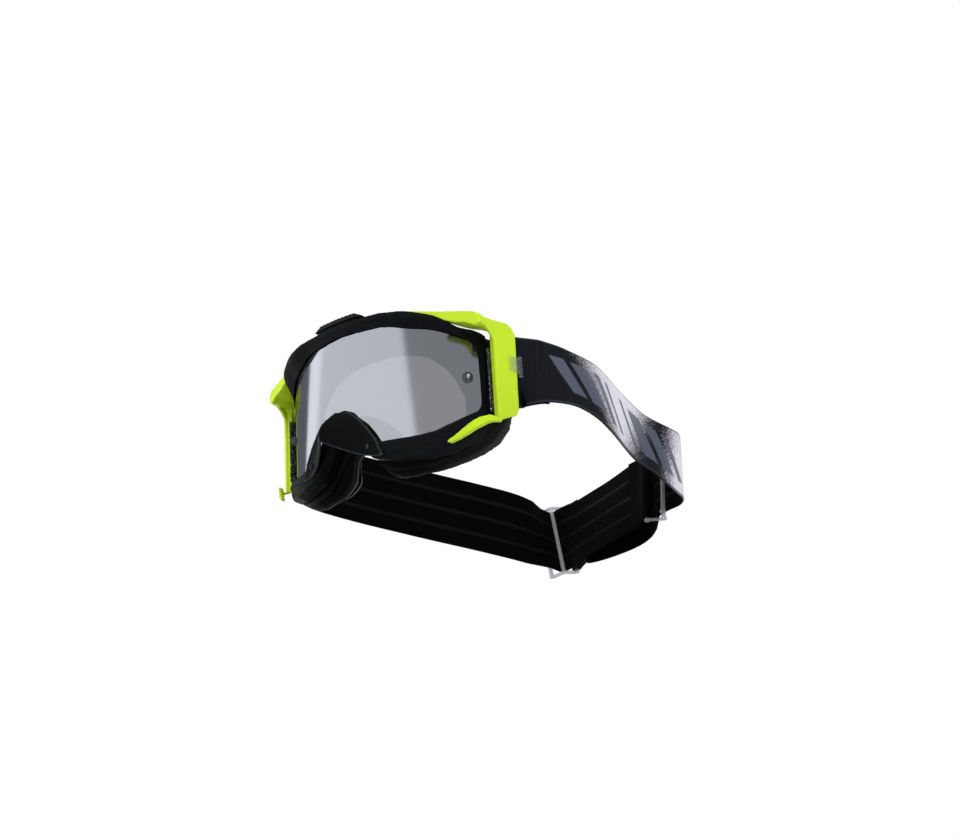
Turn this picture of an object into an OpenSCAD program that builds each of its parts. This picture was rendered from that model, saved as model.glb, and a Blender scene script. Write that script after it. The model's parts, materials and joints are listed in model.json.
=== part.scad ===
/* [Front frame] */
// Thickness of the front frame's face, measured along the curve's radius
face_t = 3.7; // [2.5:0.1:3.7]
// Depth of the rim that wraps back round the lens
skirt_d = 9.5; // [7:0.5:9.5]
// Wall of the rim
skirt_t = 2.6; // [2:0.1:2.6]

/* [Lens] */
// Thickness of the curved lens
lens_t = 1.4; // [0.8:0.1:1.6]
// How far the lens reaches behind the edge of the opening
lens_lap = 2; // [1:0.5:2]
// Radius of each tear-off post
post_r = 2.5; // [2:0.1:2.8]
// Free length of each tear-off post
post_len = 3; // [1.5:0.1:4]

/* [Face foam] */
// Thickness of the first foam layer
foam1_t = 6; // [4:0.5:7]
// Thickness of the second foam layer
foam2_t = 5; // [3:0.5:6]
// Thickness of the fleece against the face
fleece_t = 2; // [1:0.5:2.5]

/* [Outriggers] */
// Thickness of the outrigger's side plate
plate_t = 2; // [1.5:0.1:2]
// Radius of the hinge pin
hinge_r = 1.5; // [1:0.1:1.5]
// Radial clearance of the hinge pin in its boss
hinge_gap = 0.05; // [0.02:0.01:0.1]

/* [Strap] */
// Width of the webbing
strap_w = 46; // [30:1:46]
// Thickness of the webbing
strap_t = 1.6; // [1:0.1:1.6]
// Radius of the bars in the sliders
bar_r = 1.5; // [1:0.1:1.6]

/* [Hidden] */

// The working frame has its origin at the top of the lens opening, front
// centre. These offsets move it to the middle of the footprint, on the ground.
off_x = -1.86;
off_y = 121.76;
off_z = 91.53;

face_r = 105;       // outer face of the lens
rear_r = 107;       // rear faces of chassis and foam
front_y = 105;      // axis of the lens curve
cut_y = 36.2;       // the front frame ends here at the sides

// Half outlines, from the top centre down to the bottom centre (x, z).
opening = [[0, 0.2], [8, -0.2], [16, -0.5], [28, -0.6], [36, -2], [44, -4.4],
  [54, -7], [61, -9.5], [69, -12.6], [75, -16.5], [77, -19.5], [78, -26],
  [78.3, -51.5], [78, -56.5], [76.5, -59.5], [66, -66], [57, -71],
  [48.5, -72.8], [38, -73.3], [26.5, -73.3], [25, -72], [17, -61.3],
  [9, -51], [2.5, -47.9], [0, -47.9]];
frame_out = [[0, 7], [10, 7], [19, 6.3], [31.5, 5.5], [43.5, 3.2], [59, -1.7],
  [71, -7], [78, -8.6], [82.5, -12], [83.4, -16.5], [84, -53], [84, -62.5],
  [74.5, -78], [63.7, -83.7], [50.6, -86.6], [39.7, -86.2], [28.3, -84.6],
  [22, -83], [16, -76], [9, -66], [4, -61.5], [0, -60]];
rear_out = [[0, 5], [15, 4.7], [30, 4], [43, 1.5], [55, -2], [64, -5.6],
  [70, -8.5], [75.5, -13], [78, -18], [79.3, -26], [79.5, -45], [79.5, -58],
  [78.2, -66], [73.5, -75.5], [66.5, -81.5], [59, -85.2], [51, -87.8],
  [44, -89.2], [32, -89.2], [26, -88.4], [21, -85.8], [17, -82], [13.5, -76.5],
  [10, -71], [5, -65], [0, -63.5]];
eye_out = [[0, -9], [20, -10], [35, -13], [43, -16.8], [50, -21.5],
  [57, -28], [61, -34], [64, -41], [66.5, -49], [67, -56], [66, -61],
  [63, -66], [58, -71], [51, -74.8], [45, -76.2], [37, -76], [31, -73.5],
  [27, -70], [22, -62], [15, -54], [7, -50], [0, -49]];

// Places of the two sliders; the left one sits in line with the rear run.
bar_left = [76.9, 221, -60.2];
bar_right = [-32.6, 255, -65.3];
// Turns of the right slider: about the upright, tip and lean.
turns_right = [32.7, -7, -4];

// Route of the strap's middle line: x, y, z, lean in degrees (top inwards is
// positive) and the slant of the cross-section along the route.
route_left = [[84.6, 63, -29.8, 12, 0], [89.2, 67, -29.8, 14.5, 0],
  [96.5, 73.5, -30.5, 17.5, 0], [104, 86, -32.5, 18.5, 0],
  [107.6, 102, -35.6, 15, 0], [107.3, 118.5, -39.2, 9.7, 0],
  [102, 151, -47.3, 8.3, 0], [101.4, 174, -52, 12, 0],
  [102.4, 198, -56.6, 4, 0], [101.2, 208.5, -58.2, -1, 0],
  [95.6, 214.8, -59.3, -6, 0], [85.3, 217.8, -59.8, -8, 0],
  [76.9, 221, -60.2, -8, 0], [72.2, 223.2, -60.6, -5, 0],
  [65.8, 227.6, -62, 1, 0], [57.5, 233.8, -63.6, 7, 0],
  [47, 240.6, -64.8, 10, 0], [33, 246.3, -65.6, 10, 0],
  [14, 250.5, -66, 7, 0], [-1, 252.8, -65.8, 2, 0], [-8.3, 254.1, -65.6, -2, 0]];
route_right = concat([[47, 228.1, -61.7, -8, 0], [28, 235.4, -62.6, -7.5, 0],
  [4, 244.6, -63.8, -6.5, 0], [-14, 251.4, -64.7, -5, 0.03]],
  [for (a = [38, 62, 87, 111, 135])
    concat(on_right([2.82 * cos(a), 2.82 * sin(a), 0]), [-4, 0])],
  [[-38.8, 241, -62.9, 1, 0.04],
  [-45.4, 219.5, -59.2, 8.5, 0], [-58, 197.5, -54.5, 9.5, 0],
  [-74, 173.2, -49, 9.5, 0], [-89, 150, -43.7, 8.5, 0],
  [-103, 127, -38.6, 8, 0], [-112, 105, -35, 7, 0], [-113.5, 90, -33.3, 8, 0],
  [-108.5, 78.5, -32.2, 11, 0], [-99, 71.5, -31.5, 12, 0],
  [-90.5, 67, -30.4, 12, 0], [-85.2, 63.6, -30, 10, 0]]);

function leaned(v, a) = [v[0], v[1] * cos(a) - v[2] * sin(a),
  v[1] * sin(a) + v[2] * cos(a)];
function tipped(v, a) = [v[0] * cos(a) + v[2] * sin(a), v[1],
  v[2] * cos(a) - v[0] * sin(a)];
function turned(v, a) = [v[0] * cos(a) - v[1] * sin(a),
  v[0] * sin(a) + v[1] * cos(a), v[2]];
function along_right(v) = turned(tipped(leaned(v, turns_right[2]),
  turns_right[1]), turns_right[0]);
// A point of the right slider's own frame.
function on_right(v) = bar_right + along_right(v);

function mirrored(h) = concat(h, [for (i = [len(h) - 1:-1:0])
  if (h[i][0] > 0.01) [-h[i][0], h[i][1]]]);
function unit(v) = v / norm(v);
function rn(a, b) = let (d = unit(b - a)) [d[1], -d[0]];
// Moves a clockwise outline inwards by d, with mitred corners.
function inset(p, d) = let (n = len(p)) [for (i = [0:n - 1])
  let (a = rn(p[(i + n - 1) % n], p[i]), b = rn(p[i], p[(i + 1) % n]))
  p[i] + d * (a + b) / max(0.6, 1 + a * b)];
function on_r(r, x) = front_y - sqrt(r * r - x * x);

// Catmull-Rom point between p1 and p2.
function cr(p0, p1, p2, p3, t) = 0.5 * (2 * p1 + (p2 - p0) * t
  + (2 * p0 - 5 * p1 + 4 * p2 - p3) * t * t
  + (3 * p1 - p0 - 3 * p2 + p3) * t * t * t);
function smooth(p, m) = let (n = len(p)) concat([for (i = [0:n - 2])
  for (k = [0:m - 1]) cr(i == 0 ? 2 * p[0] - p[1] : p[i - 1], p[i], p[i + 1],
    i == n - 2 ? 2 * p[n - 1] - p[n - 2] : p[i + 2], k / m)], [p[n - 1]]);
function xyz(p) = [p[0], p[1], p[2]];
// One flat cross-section of webbing at sample i of a smoothed route.
function section(q, i, w, t) = let (n = len(q),
  d = unit(xyz(q[min(i + 1, n - 1)]) - xyz(q[max(i - 1, 0)])),
  u0 = unit([0, 0, 1] - d * d[2]), out = cross(d, u0),
  a = q[i][3], c = xyz(q[i]),
  // Near the right slider's bar the webbing turns parallel to the bar.
  k = min(1, max(0, 1.6 - norm(c - bar_right) / 14)),
  u = unit((1 - k) * unit(u0 * cos(a) - out * sin(a) + d * q[i][4])
    + k * along_right([0, 0, 1])),
  o = unit(cross(d, u)))
  [c - u * w / 2 - o * t / 2, c - u * w / 2 + o * t / 2,
   c + u * w / 2 + o * t / 2, c + u * w / 2 - o * t / 2];

module band(route, w, t, m = 3) {
  q = smooth(route, m);
  n = len(q);
  pts = [for (i = [0:n - 1]) each section(q, i, w, t)];
  faces = concat([[3, 2, 1, 0]],
    [for (i = [0:n - 2]) for (k = [0:3]) each [
      [4 * i + k, 4 * i + (k + 1) % 4, 4 * i + 4 + (k + 1) % 4],
      [4 * i + k, 4 * i + 4 + (k + 1) % 4, 4 * i + 4 + k]]],
    [[4 * n - 4, 4 * n - 3, 4 * n - 2, 4 * n - 1]]);
  polyhedron(pts, faces, convexity = 8);
}

module place() { translate([-off_x, -off_y, off_z]) children(); }
// Extrudes an outline in the x, z plane from y0 back to y1.
module prism(p, y0 = -40, y1 = 90) {
  translate([0, y1, 0]) rotate([90, 0, 0]) linear_extrude(y1 - y0) polygon(p);
}
module drum(r, y) {
  translate([0, y, -130]) cylinder(r = r, h = 180, $fn = 128);
}
// The layer between a drum and the next drum behind it, front half only.
module layer(r0, y0, r1, y1, back = 90) {
  intersection() {
    difference() { drum(r0, y0); drum(r1, y1); }
    translate([-100, -60, -110]) cube([200, 60 + back, 140]);
  }
}
// A bar between two heights, upright.
module upright(x, y, r, z0, z1) {
  translate([x, y, z0]) cylinder(r = r, h = z1 - z0, $fn = 48);
}
// Moves a slider's own frame (x along the strap, y outwards, z across the
// webbing) to its place.
module at_slider(c, turn, tip, lean) {
  translate(c) rotate([0, 0, turn]) rotate([0, tip, 0]) rotate([lean, 0, 0])
    children();
}
module at_left_slider() at_slider(bar_left, -21.06, -2.6, -8) children();
module at_right_slider()
  at_slider(bar_right, turns_right[0], turns_right[1], turns_right[2]) children();

module front_frame() color([0.09, 0.1, 0.11]) place() {
  full = mirrored(frame_out);
  hole = mirrored(opening);
  difference() {
    union() {
      // The face, stepped back from the lens at the edge of the opening.
      for (k = [0:2]) intersection() {
        difference() { prism(full); prism(inset(hole, -1.3 * k)); }
        layer(109 - face_t + face_t * (k + 1) / 3, front_y,
          109 - face_t + face_t * k / 3, front_y);
      }
      intersection() {
        difference() { prism(full); prism(inset(full, skirt_t)); }
        layer(109, front_y, 109, front_y + skirt_d);
      }
    }
    translate([-100, cut_y, -110]) cube([200, 60, 140]);
    for (s = [-1, 1]) {
      translate([22 * s, 10, -77.5]) rotate([90, 0, 0])
        cylinder(r = 1.6, h = 20, $fn = 48);
      upright(62 * s, 20, hinge_r, -6.2, 6);
    }
  }
}

module lens() color([0.72, 0.74, 0.78, 0.5]) place()
  intersection() {
    prism(inset(mirrored(opening), -lens_lap), -20, 60);
    layer(face_r, front_y, face_r - lens_t, front_y, 60);
  }

// A clear stud on the lens face, square to the curve.
module tear_off_post(s) color([0.82, 0.84, 0.86, 0.6]) place()
  translate([0, front_y, -38]) rotate([0, 0, 43.65 * s]) translate([0, -face_r, 0])
    rotate([90, 0, 0]) {
      difference() {
        translate([0, 0, -0.6]) cylinder(r = post_r + 0.8, h = 1.4, $fn = 48);
        translate([0, 0, -face_r]) rotate([90, 0, 0])
          translate([0, 0, -20]) cylinder(r = face_r + 0.02, h = 40, $fn = 128);
      }
      translate([0, 0, 0.5]) cylinder(r = post_r, h = post_len + 0.3, $fn = 48);
    }
module tear_off_post_left() tear_off_post(1);
module tear_off_post_right() tear_off_post(-1);

tongue = inset(mirrored(frame_out), skirt_t + 0.3);

// The inner frame: a lip behind the lens, a wall and a flange for the foam.
module chassis() color([0.06, 0.06, 0.07]) place() {
  lip = inset(mirrored(opening), -1);
  difference() {
    union() {
      intersection() {
        difference() { prism(tongue); prism(lip); }
        layer(face_r - lens_t - 0.1, front_y, 101, front_y);
      }
      intersection() {
        difference() { prism(tongue); prism(inset(tongue, 1.9)); }
        layer(face_r - lens_t - 0.1, front_y, rear_r, 121);
      }
      intersection() {
        difference() {
          prism(mirrored(rear_out));
          prism(inset(mirrored(eye_out), 1));
        }
        layer(rear_r, 118, rear_r, 121);
      }
    }
    // Windows in the side walls, covered by mesh.
    translate([-90, 38, -61]) cube([180, 8, 41]);
    // Vent slots through the top and bottom walls.
    for (s = [-1, 1]) for (x = [4, 18, 32]) translate([s * (x + 4) - 4,
      on_r(100, x + 4) - 1, -10]) cube([8, 3.5, 20]);
    for (s = [-1, 1]) for (x = [30, 43]) translate([s * (x + 4) - 4,
      on_r(100, x + 4) - 1, -90]) cube([8, 3.5, 12]);
  }
}

// Thin mesh set into the window of the side wall.
module side_mesh(s) color([0.2, 0.2, 0.21]) place()
  translate([s == 1 ? 80.4 : -81, 38.1, -60.9]) cube([0.6, 7.8, 40.8]);
module side_mesh_left() side_mesh(1);
module side_mesh_right() side_mesh(-1);

// Yellow panel behind the upper outer corner of the lens.
module corner_panel(s) color([0.6, 0.75, 0.1]) place() mirror([s == 1 ? 0 : 1, 0, 0])
  intersection() {
    prism([[60, -12.2], [66, -14.4], [71.2, -17], [74.2, -21.5], [75.6, -29],
      [71, -23], [66, -18.5], [60, -15.6]]);
    layer(100.8, front_y, 99.4, front_y);
  }
module corner_panel_left() corner_panel(1);
module corner_panel_right() corner_panel(-1);

module top_vent_cover() color([0.16, 0.16, 0.17]) place()
  intersection() {
    prism([[-19, 7.1], [-13.5, 10.4], [13.5, 10.4], [19, 7.1]]);
    layer(109, front_y, 109, front_y + 9);
  }

// Strips of open foam over the vent slots, in the channel behind the rim.
module vent_strip(keep) intersection() {
  difference() { prism(inset(tongue, -2)); prism(tongue); }
  layer(109, front_y + skirt_d + 0.3, rear_r, 118);
  prism(keep);
}
module vent_foam_top() color([0.13, 0.13, 0.13]) place()
  vent_strip([[-58, -6], [-58, 14], [58, 14], [58, -6]]);
module vent_foam_bottom() color([0.13, 0.13, 0.13]) place()
  for (s = [-1, 1]) mirror([s == 1 ? 0 : 1, 0, 0])
    vent_strip([[27, -95], [27, -72], [62, -72], [62, -95]]);

module foam_ring(d_out, d_in, y0, y1) intersection() {
  difference() {
    prism(inset(mirrored(rear_out), d_out));
    prism(inset(mirrored(eye_out), d_in));
  }
  layer(rear_r, y0, rear_r, y1);
}
module foam_base() color([0.05, 0.05, 0.05]) place()
  foam_ring(0.3, 0.6, 121, 121 + foam1_t);
module foam_mid() color([0.1, 0.1, 0.1]) place()
  foam_ring(0, 0.3, 121 + foam1_t, 121 + foam1_t + foam2_t);
module foam_fleece() color([0.16, 0.15, 0.16]) place()
  foam_ring(0.8, 0, 121 + foam1_t + foam2_t, 121 + foam1_t + foam2_t + fleece_t);

// Nose guard: five rows from the tip under the lens down to the lower edge.
guard_mid = [[0, -6.8, -50.3], [0, -13, -55.5], [0, -19, -61], [0, -22.5, -67],
  [0, -21.3, -72.6]];
guard_side = [[9, 0, -52.4], [16.5, 0, -58.5], [22, 0, -65.5], [27, 0, -73.5],
  [31, 0, -84.2]];
guard_n = 8;
function guard_pt(k, j, back) = let (t = abs(j) / guard_n, f = sin(90 * t),
  s = guard_side[k], m = guard_mid[k], sy = on_r(111.7, s[0]))
  [sign(j) * s[0] * t, m[1] + (sy - m[1]) * f + 2 * back,
   m[2] + (s[2] - m[2]) * f + 0.4 * back];
module nose_guard() color([0.07, 0.07, 0.08]) place() {
  w = 2 * guard_n + 1;
  pts = concat([for (k = [0:4]) for (j = [-guard_n:guard_n]) guard_pt(k, j, 0)],
    [for (k = [0:4]) for (j = [-guard_n:guard_n]) guard_pt(k, j, 1)]);
  b = 5 * w;
  faces = concat(
    [for (k = [0:3]) for (j = [0:w - 2]) each [
      [k * w + j, k * w + j + 1, (k + 1) * w + j + 1],
      [k * w + j, (k + 1) * w + j + 1, (k + 1) * w + j],
      [b + k * w + j, b + (k + 1) * w + j + 1, b + k * w + j + 1],
      [b + k * w + j, b + (k + 1) * w + j, b + (k + 1) * w + j + 1]]],
    [for (j = [0:w - 2]) each [
      [j, b + j, b + j + 1], [j, b + j + 1, j + 1],
      [4 * w + j, 4 * w + j + 1, b + 4 * w + j + 1],
      [4 * w + j, b + 4 * w + j + 1, b + 4 * w + j]]],
    [for (k = [0:3]) each [
      [k * w, (k + 1) * w, b + (k + 1) * w], [k * w, b + (k + 1) * w, b + k * w],
      [k * w + w - 1, b + k * w + w - 1, b + (k + 1) * w + w - 1],
      [k * w + w - 1, b + (k + 1) * w + w - 1, (k + 1) * w + w - 1]]]);
  polyhedron(pts, faces, convexity = 6);
  for (s = [-1, 1]) translate([22 * s, 3, -77.5]) rotate([90, 0, 0])
    cylinder(r = 1.5, h = 8.5, $fn = 48);
}

// Steel pin that the outrigger swings on, with a flat head.
module hinge_pin(s) color([0.6, 0.6, 0.62]) place() {
  upright(62 * s, 20, hinge_r, -6, 1.2);
  upright(62 * s, 20, 2.2, 1.1, 1.7);
}
module hinge_pin_left() hinge_pin(1);
module hinge_pin_right() hinge_pin(-1);

// Outlines of the outrigger: the arms seen from the front (x, z), the side
// plate from the side (y, z), and the upper arm and the plate from above (x, y).
arm_top = [[36, 6], [41, 5.5], [50, 4.2], [58, 3], [70, 0.8], [77, -0.6],
  [83, -2.4], [86.2, -4.4], [86.4, -9], [82.5, -11], [77.4, -8], [73, -7],
  [69, -5.6], [62, -2.5], [59, -1], [50.7, 1.9], [43.5, 4.1], [36, 5.3]];
arm_low = [[84.6, -65.6], [80, -67.4], [76.8, -70.2], [73, -74.2],
  [69.4, -78], [66.4, -80.6], [66, -81.8], [67, -82.4], [71.2, -80],
  [74.8, -77.2], [78.4, -74], [83.5, -70.2], [87.6, -69.6], [88, -67.4]];
plate_side = [[23, -3.6], [28.5, -5], [40, -4.2], [50, -3.3], [54.5, -5.3],
  [57.4, -9.3], [56.3, -57.3], [53.6, -61.6], [47.4, -64.2], [40, -67.6],
  [33.6, -69.8], [33.6, -68.9], [38.8, -66.6], [38.8, -20], [38.2, -16.5],
  [35.8, -13.5], [31.2, -10], [27, -8.2], [23, -8]];
arm_plan = [[36, 2.2], [42, 5.2], [50, 9.8], [58, 14.6], [64, 17.8], [70, 20.2],
  [77, 22.3], [83, 24.2], [86, 26], [86.4, 28], [84.2, 28.6], [82.6, 27],
  [77, 25], [71.5, 23.8], [66, 22.4], [60, 19.4], [50, 13.4], [42, 8.8],
  [36, 6]];
plate_plan = [[84.4, 24.6], [85.8, 25.7], [86.4, 39.2], [88, 57.6],
  [86.2, 57.6], [86.2, 51], [84.4, 39.2], [83.8, 28]];
flange_plan = [[86.4, 39.2], [85.6, 39.3], [81.2, 40.6], [81.2, 42.6],
  [86, 41.9]];

// Shelf behind the upper arm's elbow: its section (x, z) and its plan (x, y).
shelf_side = [[63, -0.8], [69, -3.4], [73, -4.8], [77.4, -5.6], [82.5, -7],
  [86.3, -7.2], [86.3, -10], [82.5, -10.6], [77.4, -8], [73, -7], [69, -5.6],
  [63, -2.9]];
shelf_plan = [[63, 19], [70, 22], [77, 24], [83, 26], [85.6, 28], [86.2, 46],
  [83.5, 45.4], [80, 43], [75, 38.6], [70, 34], [66, 29.5], [63, 25]];

module outrigger_left() color([0.77, 0.9, 0.19]) place()
  difference() {
    union() {
      // Upper arm, over the rim of the front frame.
      intersection() {
        prism(arm_top);
        translate([0, 0, -20]) linear_extrude(40) polygon(arm_plan);
      }
      intersection() {
        prism(shelf_side);
        translate([0, 0, -20]) linear_extrude(40) polygon(shelf_plan);
      }
      upright(62, 20, 2.8, -1, 2);
      // Side plate and front flange of the upright bar.
      intersection() {
        translate([70, 0, 0]) rotate([90, 0, 90]) linear_extrude(30)
          polygon(plate_side);
        translate([0, 0, -80]) linear_extrude(100) polygon(plate_plan);
      }
      translate([0, 0, -66.5]) linear_extrude(58.5) polygon(flange_plan);
      // Lower arm, over the face of the front frame.
      intersection() { prism(arm_low); layer(112, front_y, 109.5, front_y); }
      // Ears that hold the strap pin.
      for (z = [-58, -7.3]) translate([80.4, 52.4, z]) cube([5.8, 4.4, 2.6]);
    }
    upright(62, 20, hinge_r + hinge_gap, -4, 0.9);
    upright(62, 20, 2.3, 0.8, 6);
    upright(82.95, 54.8, bar_r, -60, -3);
  }
module outrigger_right() mirror_part() outrigger_left();
// Mirrors a finished left part to the right.
module mirror_part() translate([-2 * off_x, 0, 0]) mirror([1, 0, 0]) children();

module strap_pin_left() color([0.62, 0.62, 0.64]) place()
  upright(82.95, 54.8, bar_r, -57.8, -4.9);
module strap_pin_right() mirror_part() strap_pin_left();

// Clear clip over the rear edge of the bar.
module strap_clip_left() color([0.85, 0.87, 0.88, 0.5]) place() {
  translate([88, 49.8, -33.6]) cube([0.9, 8.8, 9.4]);
  translate([86.6, 57.7, -33.6]) cube([2.3, 1.6, 9.4]);
  upright(87.9, 60.2, 1.3, -35.3, -22.5);
}
module strap_clip_right() mirror_part() strap_clip_left();

// The webbing's sewn loop round the strap pin.
module strap_end_left() color([0.04, 0.04, 0.06]) place() difference() {
  translate([0, 0, -31 - strap_w / 2]) linear_extrude(strap_w) {
    translate([82.95, 54.8]) circle(r = 2.9, $fn = 48);
    polygon([[80.3, 54.8], [80.6, 57], [81.3, 59.3], [83.25, 64], [85.4, 61.8],
      [84.3, 59], [85.3, 57], [85.6, 54.8]]);
  }
  upright(82.95, 54.8, bar_r + 0.05, -60, -3);
}
module strap_end_right() mirror_part() strap_end_left();

module strap_left() color([0.1, 0.1, 0.14]) place()
  band(route_left, strap_w, strap_t);
module strap_right() color([0.03, 0.03, 0.03]) place()
  band(route_right, strap_w, strap_t);

// A three-bar slider: o_mid and o_side are the bars' distances outwards.
module slider(o_mid, o_side) {
  h = strap_w / 2 + 0.75;
  for (x = [-9, 9]) translate([x, o_side, -h - 0.5])
    cylinder(r = bar_r, h = 2 * h + 1, $fn = 48);
  translate([0, o_mid, -h - 0.5]) cylinder(r = bar_r, h = 2 * h + 1, $fn = 48);
  for (z = [-h - 1.6, h]) translate([0, 0, z]) linear_extrude(1.6)
    polygon([[-9.6, o_side + 1.8], [-10.9, o_side], [-9.6, o_side - 1.8],
      [-7.6, o_side - 1.8], [-1.4, o_mid - 1.9], [1.4, o_mid - 1.9],
      [7.6, o_side - 1.8], [9.6, o_side - 1.8], [10.9, o_side],
      [9.6, o_side + 1.8], [7.2, o_side + 1.8], [1.2, o_mid + 1.9],
      [-1.2, o_mid + 1.9], [-7.2, o_side + 1.8]]);
}
module slider_left() color([0.75, 0.76, 0.78, 0.7]) place()
  at_left_slider() slider(2.7, -4.2);
module slider_right() color([0.75, 0.76, 0.78, 0.7]) place()
  at_right_slider() slider(0, 3.6);

// A webbing end sewn round one bar of a slider, with its tab folded back.
module sewn_end(len) difference() {
  translate([0, 0, -strap_w / 2]) linear_extrude(strap_w) {
    circle(r = 3, $fn = 48);
    polygon([[-1, 2.83], [-5, 1.6], [-len, 1.6], [-len, -1.6], [-5, -1.6],
      [-1, -2.83]]);
  }
  translate([0, 0, -strap_w]) cylinder(r = bar_r + 0.05, h = 2 * strap_w, $fn = 48);
}
// End of the right strap, on the left slider's inner side bar.
module slider_end_left() color([0.03, 0.03, 0.03]) place()
  at_left_slider() translate([-9, -4.2, 0]) sewn_end(20.6);
// End of the left strap, on the right slider's outer side bar.
module slider_end_right() color([0.1, 0.1, 0.16]) place()
  at_right_slider() translate([9, 3.6, 0]) rotate([0, 0, 125.5]) sewn_end(18.4);

front_frame();
lens();
tear_off_post_left();
tear_off_post_right();
chassis();
side_mesh_left();
side_mesh_right();
corner_panel_left();
corner_panel_right();
top_vent_cover();
vent_foam_top();
vent_foam_bottom();
foam_base();
foam_mid();
foam_fleece();
nose_guard();
hinge_pin_left();
hinge_pin_right();
outrigger_left();
outrigger_right();
strap_pin_left();
strap_pin_right();
strap_clip_left();
strap_clip_right();
strap_end_left();
strap_end_right();
strap_left();
strap_right();
slider_left();
slider_right();
slider_end_left();
slider_end_right();
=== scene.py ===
import bpy, bmesh, math, json
import numpy as np
from mathutils import Vector, Matrix


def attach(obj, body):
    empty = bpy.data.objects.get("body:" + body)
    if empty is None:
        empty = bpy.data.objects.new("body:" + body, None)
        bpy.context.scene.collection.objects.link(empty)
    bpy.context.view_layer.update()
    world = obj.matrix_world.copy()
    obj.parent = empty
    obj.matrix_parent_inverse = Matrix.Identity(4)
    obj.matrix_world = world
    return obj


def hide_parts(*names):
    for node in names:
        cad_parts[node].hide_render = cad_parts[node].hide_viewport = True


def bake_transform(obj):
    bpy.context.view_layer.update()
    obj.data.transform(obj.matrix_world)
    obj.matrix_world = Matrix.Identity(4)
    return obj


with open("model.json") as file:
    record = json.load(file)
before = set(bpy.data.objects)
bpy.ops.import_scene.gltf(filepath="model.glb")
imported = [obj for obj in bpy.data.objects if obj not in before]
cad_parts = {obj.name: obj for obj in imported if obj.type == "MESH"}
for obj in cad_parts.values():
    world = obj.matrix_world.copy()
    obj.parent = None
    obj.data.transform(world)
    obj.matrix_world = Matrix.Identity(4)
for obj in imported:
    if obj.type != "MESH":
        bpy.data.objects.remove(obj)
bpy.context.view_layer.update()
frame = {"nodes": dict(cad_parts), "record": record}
NODES = frame["nodes"]
BODY = {n: b for b, ns in frame["record"]["behaviour"]["bodies"].items() for n in ns}
scene = bpy.context.scene
coll = scene.collection

# ---------------------------------------------------------------- the frames
# Working frame: millimetres, origin at the top of the lens opening in front.
OX, OY, OZ = -1.86, 121.76, 91.53
FACE_Y = 105.0


def row(p):
    p = np.asarray(p, float)
    return (p - np.array([OX, OY, -OZ])) / 1000.0


def work(co):
    return np.asarray(co, float) * 1000.0 + np.array([OX, OY, -OZ])


# ------------------------------------------------------------------- camera
cam_data = bpy.data.cameras.new("camera")
cam = bpy.data.objects.new("camera", cam_data)
coll.objects.link(cam)
cam_data.sensor_width = 36.0
cam_data.lens = 67.39
cam_data.clip_start, cam_data.clip_end = 0.05, 20.0
r_ax = Vector((0.77709602, 0.62674827, -0.05751847))
u_ax = Vector((0.27280642, -0.25306618, 0.92818865))
b_ax = Vector((0.56718465, -0.73698312, -0.36763767))
loc = Vector(row((664.394, -731.096, -447.072)))
m = Matrix((
    (r_ax.x, u_ax.x, b_ax.x, loc.x),
    (r_ax.y, u_ax.y, b_ax.y, loc.y),
    (r_ax.z, u_ax.z, b_ax.z, loc.z),
    (0, 0, 0, 1)))
cam.matrix_world = m
scene.camera = cam
scene.view_settings.view_transform = "Standard"
scene.view_settings.look = "None"
scene.view_settings.exposure = 0.0
scene.view_settings.gamma = 1.0


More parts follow.
